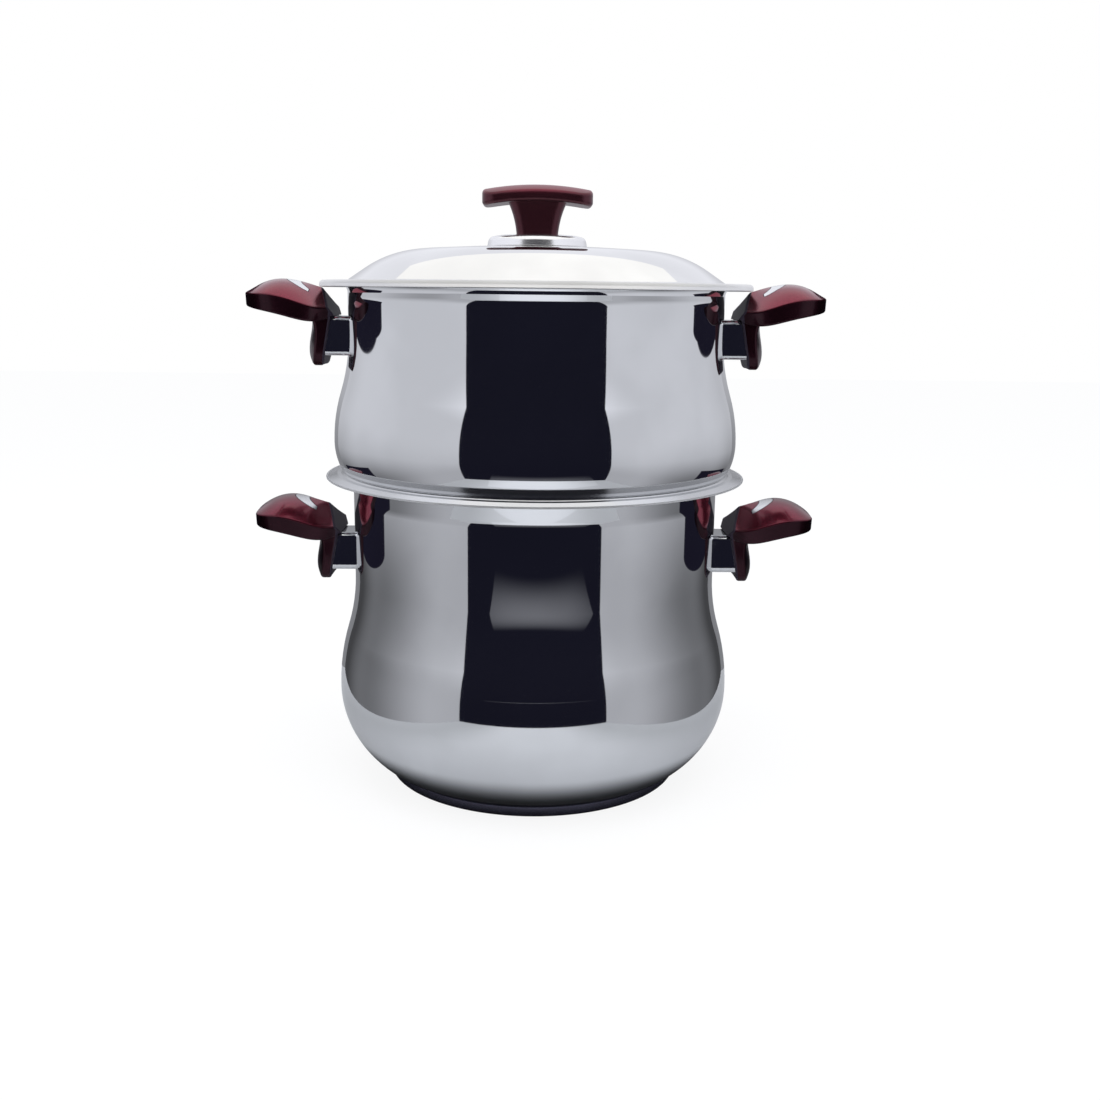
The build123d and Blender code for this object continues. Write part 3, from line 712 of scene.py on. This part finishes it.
def grip_finish(name, neck, stem_z):
    """Lacquer outside, bare resin on the inner faces and on the rounded lip next to them.

    With u = |x| - neck and h the height over the stem's centre, the paddle's inner face is the line
    u = 7.8 mm + tan 28 * (h - 12.8 mm), and the web's is u = 12.4 mm - tan 10.7 * h. Above the crease
    the lacquer is red; below it the side wall gets the plum as painted shade, with less coat. The
    crease rises from h = 18.2 mm at the web to 26.2 mm at the tip.
    """
    coat, red, plum_shade, x, y, z = lacquer(name, 0.13)
    out, height = x.size() - neck, z - stem_z
    paddle_face = FACE_OUT + FACE_LEAN * (height - FACE_UP)
    face = paddle_face.at_least(WEB_OUT - WEB_LEAN * height)
    painted = (out - face).step(*LIP) * (1 - groove(out, y))
    crease = CREASE_FOOT + CREASE_RISE * out.step(*CREASE_RUN)
    # Painted shade: under the crease the side wall gets the shaded plum, with less coat.
    lit_above_crease = (height - crease).step(-0.0012, 0.0012)
    coat.feed("Base Color", coat.blend(painted, RESIN, coat.blend(lit_above_crease, plum_shade, red)))
    coat.feed("Metallic", painted * 0.95)
    coat.feed("Roughness", 0.52 - painted * (0.18 + 0.07 * lit_above_crease))
    coat.feed("Coat Weight", painted * (0.2 + 0.35 * lit_above_crease))
    return coat.material


grip_looks = {"pot": grip_finish("pot_grip_burgundy", NECK, POT_STEM_Z),
              "steamer": grip_finish("steamer_grip_burgundy", STEAMER_NECK, STEAMER_STEM_Z)}
print("grip lacquers:", *(look.name for look in grip_looks.values()))

# %% [markdown]
# The small fittings are plain metals. They hardly show, but anyone who lifts the lid or turns the
# grips over sees them.

# %% Small fittings
def plain_metal(name, tone, roughness):
    """Turned or rolled metal: a fine grain in the roughness and a cloudy tint."""
    metal = Finish(name, metallic=1.0)
    where, *_ = metal.place()
    grain = metal.noise(where, 400.0, 4.0)
    metal.feed("Roughness", roughness * (0.7 + 0.6 * grain))
    metal.feed("Base Color", metal.blend(grain, (*(c * 0.9 for c in tone), 1), (*tone, 1)))
    return metal.material


chrome = plain_metal("inlay_chrome_look", (0.86, 0.87, 0.89), 0.22)
zinc = plain_metal("fastener_steel", (0.58, 0.58, 0.6), 0.32)
brass = plain_metal("insert_brass_look", (0.78, 0.6, 0.3), 0.28)
aluminium = plain_metal("core_aluminium", (0.78, 0.79, 0.8), 0.35)
print("plain metals:", chrome.name, zinc.name, brass.name, aluminium.name)

# %% [markdown]
# ## Every piece gets its finish
# The record says which material slot each CAD piece has, and each slot has one finish here. The grips
# of the two pans need their own, because their masks count from the neck and the height of the stem.

# %% Put the finishes on
by_slot = {"pan_steel": steel_pan, "lid_steel": steel_lid, "base_steel": shaded_base_steel,
           "base_aluminium": aluminium, "rosette_steel": steel_dish, "sleeve_steel": steel_small,
           "bracket_steel": zinc, "screw_steel": zinc, "insert_brass": brass, "inlay_chrome": chrome,
           "knob_lacquer": knob_look}
slot_of = {part["node"]: part["material_slot"] for part in frame["record"]["subparts"]}
for name, node in nodes.items():
    pan = name.split("_")[0]
    look = grip_looks[pan] if name.endswith("_grip") else by_slot[slot_of[name]]
    node.data.materials.clear()
    node.data.materials.append(look)
for skin, look in ((pot, steel_pan), (steamer, steel_steamer), (lid, steel_lid), (rosette, steel_dish),
                   (base_cap, shaded_base_steel)):
    skin.data.materials.append(look)
print("finishes on", len(nodes), "nodes")

# %% [markdown]
# ## The studio
# A mirror shows its surroundings, so the studio is half of the picture. The pot stands on a white
# table inside a light tent with an open front, and the dark room behind the camera makes the black
# panel in the middle of each pan. Each wall is a flat card that glows and is seen only in reflections.

# %% Cards for the stage
TENT_HALF, TENT_FRONT, TENT_BACK, TENT_TOP = 0.28, -0.39, 0.22, 0.60
TENT_TINT = (0.925, 0.937, 1.0, 1)


def card(name, corners, look, seen=False):
    """Flat stage card with four given corners, a metre-true place in its mesh."""
    piece = put_mesh(name, np.array(corners, float), [[0, 1, 2, 3]])
    piece.data.materials.append(look)
    if not seen:
        piece.visible_camera = False
        piece.visible_diffuse = False
        piece.visible_shadow = False
        piece.visible_transmission = False
    return piece


def glowing_card(name, corners, strength_of, tint=TENT_TINT, see_through=False):
    """Card whose glow is a function of its place. A see-through card adds to what is behind it."""
    shine = Shine(name)
    _, x, y, z = shine.place()
    glow = shine.node("ShaderNodeEmission", sockets={"Color": tint, "Strength": strength_of(x, y, z)})
    if see_through:
        clear = shine.node("ShaderNodeBsdfTransparent")
        glow = shine.node("ShaderNodeAddShader", sockets={0: glow, 1: clear})
    return card(name, corners, shine.show(glow))


print("tent", 2 * TENT_HALF, "by", round(TENT_BACK - TENT_FRONT, 2), "m, open to the front")

# %% [markdown]
# The tent's cloth is lit from above. It is brightest near the top and falls off towards the table,
# most of all at the back. That fall is what gives the bellies their shading from light to grey.

# %% The walls and the top of the tent
def side_glow(x, y, z):
    """Bright above, darker low down, and darkest low down at the back."""
    low = 1 - z.step(0.08, 0.26)
    back = y.step(-0.25, 0.0)
    far = y.step(0.02, 0.16) * (1 - z.step(0.30, 0.38))
    return 0.78 + 0.26 * z.step(0.34, 0.46) - low * (0.23 + 0.36 * back) - 0.12 * far


def back_glow(x, y, z):
    """Grey behind the pans and bright above them."""
    return 0.26 + 0.44 * z.step(0.15, 0.36) + 0.3 * z.step(0.36, 0.44)


def top_glow(x, y, z):
    """Even light."""
    return 1.18


h, f, b, t = TENT_HALF, TENT_FRONT, TENT_BACK, TENT_TOP
for side, name in ((-1, "tent_left"), (1, "tent_right")):
    glowing_card(name, [(side * h, f, 0), (side * h, b, 0), (side * h, b, t), (side * h, f, t)], side_glow)
glowing_card("tent_back", [(-h, b, 0), (h, b, 0), (h, b, t), (-h, b, t)], back_glow)
glowing_card("tent_top", [(-h, f, t), (h, f, t), (h, b, t), (-h, b, t)], top_glow, (1.0, 0.995, 0.985, 1))
print("tent walls: left, right, back and top")

# %% [markdown]
# A soft patch of light lies in the black panel of the lower pot. Something pale in front of the tent
# makes it, such as a sheet or a light near the camera. Here it is a low sheet that fades to its ends.

# %% The low sheet in front
def sheet_glow(x, y, z):
    """Fades with the distance from the pot and towards both ends: 0.19 * (1 - 28 x^2)."""
    return (1 - x * x * 28).at_least(0.0) * 0.19 * y.step(-0.405, -0.285)


glowing_card("low_sheet", [(-0.150, -0.41, 0.0925), (0.19, -0.41, 0.0925), (0.135, -0.24, 0.0886),
                           (-0.095, -0.24, 0.0886)], sheet_glow, see_through=True)
print("low sheet in front of the pot")

# %% [markdown]
# Beside each handle the steel shows a dark shape with a round foot, the reflection of the grip's dark
# face and web. Here it is a painted reflection: a black card stands beyond the tip of each handle, where
# the steel shows it just beside the handle's own reflection.

# %% Black cards that paint a dark reflection beside the handles
FLAG_OUT, FLAG_HALF, FLAG_TALL = 0.070, 0.06, 0.040
FLAG_BLACK = (0.012, 0.011, 0.022, 1)


def painted_reflection_flag(name, place_x, foot_z, round_down, wide):
    """Black flag across y at place_x: round below its foot height, and straight above.

    It is dark where (y / wide)^2 + (d / round_down)^2 < 1, with d how far z lies under foot_z.
    """
    shine = Shine(name)
    _, _, y, z = shine.place()
    below = (z - foot_z).at_most(0.0)
    inside = 1 - (y * y * (1 / wide ** 2) + below * below * (1 / round_down ** 2)).step(0.92, 1.0)
    black = shine.node("ShaderNodeEmission", sockets={"Color": FLAG_BLACK})
    clear = shine.node("ShaderNodeBsdfTransparent")
    low, high, half = foot_z - round_down, foot_z + FLAG_TALL, FLAG_HALF
    card(name, [(place_x, -half, low), (place_x, half, low), (place_x, half, high),
                (place_x, -half, high)], shine.show(shine.mix(inside, clear, black)))


# Painted reflection: a black card beside each grip of both pans.
for side, steamer_wide in ((-1, 0.056), (1, 0.049)):
    painted_reflection_flag("pot_flag", side * (NECK + FLAG_OUT), POT_STEM_Z - 0.010, 0.014, 0.048)
    painted_reflection_flag("steamer_flag", side * (STEAMER_NECK + FLAG_OUT), STEAMER_STEM_Z + 0.005, 0.012,
              steamer_wide)
print("four black flags beside the handles")

# %% [markdown]
# ## Table and surroundings
# The photograph is cut out on white, so the camera sees the table almost as a plain white page that
# keeps a faint shadow. In the steel the table is dimmer, darkest close to the foot, where the pot
# shades it. It ends in front in a shallow curve, and beyond it the steel shows the dark room.

# %% White table
TABLE_HALF = 4
EDGE_BOW = 0.07
table = Shine("table_white")
_, fx, fy, _ = table.place()
seen, glossy = table.rays()
white = table.node("ShaderNodeBsdfDiffuse", sockets={"Color": (0.86, 0.885, 0.94, 1)})
page = table.node("ShaderNodeEmission", sockets={"Strength": 1.04})
clear = table.node("ShaderNodeBsdfTransparent")
shade = table.node("ShaderNodeEmission", sockets={"Strength": 0.0})
near_foot = 1 - (fx * fx + fy * fy).root().step(0.102, 0.136)
side_fall = fx.size().step(0.07, 0.24) * 0.24
dimness = glossy * (0.19 + side_fall * (1 - near_foot) + 0.72 * near_foot)
dimmed = table.mix(dimness, table.mix(seen * 0.85, white, page), shade)
front = TENT_FRONT - EDGE_BOW * (1 - fx * fx * (1 / TENT_HALF ** 2))
beyond = 1 - (1 - fx.size().step(TENT_HALF, TENT_HALF + 0.001)) * (fy - front).step(-0.001, 0.0)
w = TABLE_HALF
card("table", [(-w, -w, 0), (w, -w, 0), (w, w, 0), (-w, w, 0)],
     table.show(table.mix(glossy * beyond, dimmed, clear)), seen=True)
print("white table", 2 * w, "m wide")

# %% [markdown]
# The world is the room outside the tent. The camera sees it white, like the page. In reflections it
# is dark on the camera's side and pale elsewhere, so that a lid lifted above the tent still has
# something light to show.

# %% The room around
PALE_ROOM, DARK_ROOM, ROOM_LIGHT = (0.70, 0.71, 0.75, 1), (0.010, 0.010, 0.019, 1), 0.75
world = bpy.data.worlds.new("studio")
bpy.context.scene.world = world
world.use_nodes = True
room = Look(world.node_tree)
seen, glossy = room.rays()
_, _, toward_y, toward_z = room.place("Generated")
dark_side = (1 - toward_y.step(-0.2, 0.0)) * (1 - toward_z.step(0.80, 0.90))
colour = room.blend(glossy, (1, 1, 1, 1), room.blend(dark_side, PALE_ROOM, DARK_ROOM))
strength = seen + (1 - seen) * (glossy + (1 - glossy) * ROOM_LIGHT)
sky = world.node_tree.nodes["Background"]
room.tree.links.new(colour.socket, sky.inputs["Color"])
room.tree.links.new(strength.socket, sky.inputs["Strength"])
print("room light", ROOM_LIGHT)

# %% [markdown]
# One large soft lamp hangs above and a little in front. It lights the lacquer and the table. It is
# hidden from reflections, because the tent's top is what the steel shows there.

# %% Lamp
LAMP_PLACE, LAMP_AIM, LAMP_SIZE, LAMP_WATTS = (0.0, -0.3, 1.6), (0, 0, 0.2), 1.4, 14.0
lamp = bpy.data.lights.new("key", "AREA")
lamp.shape, lamp.size, lamp.energy = "SQUARE", LAMP_SIZE, LAMP_WATTS
key = bpy.data.objects.new("key", lamp)
bpy.context.scene.collection.objects.link(key)
aim = (Vector(LAMP_AIM) - Vector(LAMP_PLACE)).to_track_quat("-Z", "Y").to_matrix().to_4x4()
key.matrix_world = Matrix.Translation(LAMP_PLACE) @ aim
key.visible_glossy = False
print("lamp of", LAMP_WATTS, "W")

# %% [markdown]
# ## The camera
# The photograph was taken from a little above the lid, about 80 cm away, with a small turn to the
# right and a very small roll. These few numbers were fitted to the outline of the object.

# %% Camera
PITCH, YAW, ROLL = 0.2076, 0.0130, 0.0117
STAND = (0, -0.8083, 0.32005)
SENSOR, FOCAL_PIXELS, PHOTO_PIXELS = 36.0, 1221.1, 1100
ahead = np.array([math.sin(YAW) * math.cos(PITCH), math.cos(YAW) * math.cos(PITCH), -math.sin(PITCH)])
level = np.array([math.cos(YAW), -math.sin(YAW), 0])
upward = np.cross(level, ahead)
right = math.cos(ROLL) * level + math.sin(ROLL) * upward
top = -math.sin(ROLL) * level + math.cos(ROLL) * upward
camera = bpy.data.cameras.new("camera")
camera.sensor_fit, camera.sensor_width = "HORIZONTAL", SENSOR
camera.lens = SENSOR * FOCAL_PIXELS / PHOTO_PIXELS
camera.clip_start = 0.01
holder = bpy.data.objects.new("camera", camera)
bpy.context.scene.collection.objects.link(holder)
turn = np.eye(4)
turn[:3, 0], turn[:3, 1], turn[:3, 2], turn[:3, 3] = right, top, -ahead, STAND
holder.matrix_world = Matrix(turn.tolist())
bpy.context.scene.camera = holder
bpy.context.scene.view_settings.view_transform = "Standard"
print("lens", round(camera.lens, 2), "mm")

# %% [markdown]
